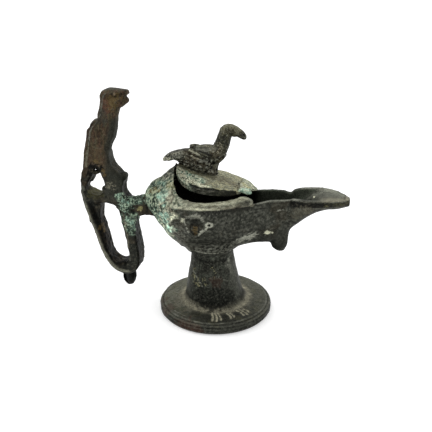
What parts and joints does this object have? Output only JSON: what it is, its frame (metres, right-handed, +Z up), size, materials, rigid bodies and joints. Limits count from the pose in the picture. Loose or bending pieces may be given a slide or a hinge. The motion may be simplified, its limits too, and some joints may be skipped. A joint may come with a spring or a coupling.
{
  "type": "bronze oil lamp",
  "caption": "Cast bronze oil lamp: boat-shaped bowl with hood and channel spout on a pedestal foot, upright beast handle with finger loop, and a lift-off lid topped by a bird.",
  "frame": {"origin": "centre of the foot's flat underside, where the lamp stands", "axes": "+X from the bowl towards the spout tip, -X towards the handle, +Z up, the side with the shield boss at -Y faces the viewer"},
  "size_m": [0.1369, 0.0598, 0.1169],
  "materials": {
    "body_bronze": "cast bronze, dark grey-green patina, green and cream crust at the back",
    "foot_bronze": "turned cast bronze, dark patina with pale dust in the grooves and reddish wear on the rim",
    "handle_bronze": "cast bronze, brown-black patina worn to gold-brown, with verdigris by the stub",
    "lid_bronze": "cast bronze under a pale beige mineral crust, dark at the flange",
    "bird_bronze": "cast bronze, dark brown-black patina with pale dust in the feather lines"
  },
  "bodies": {
    "root": {"lamp_body": "body_bronze", "pedestal_foot": "foot_bronze", "figure_handle": "handle_bronze", "lid": "lid_bronze", "bird_finial": "bird_bronze"}
  },
  "joints": []
}
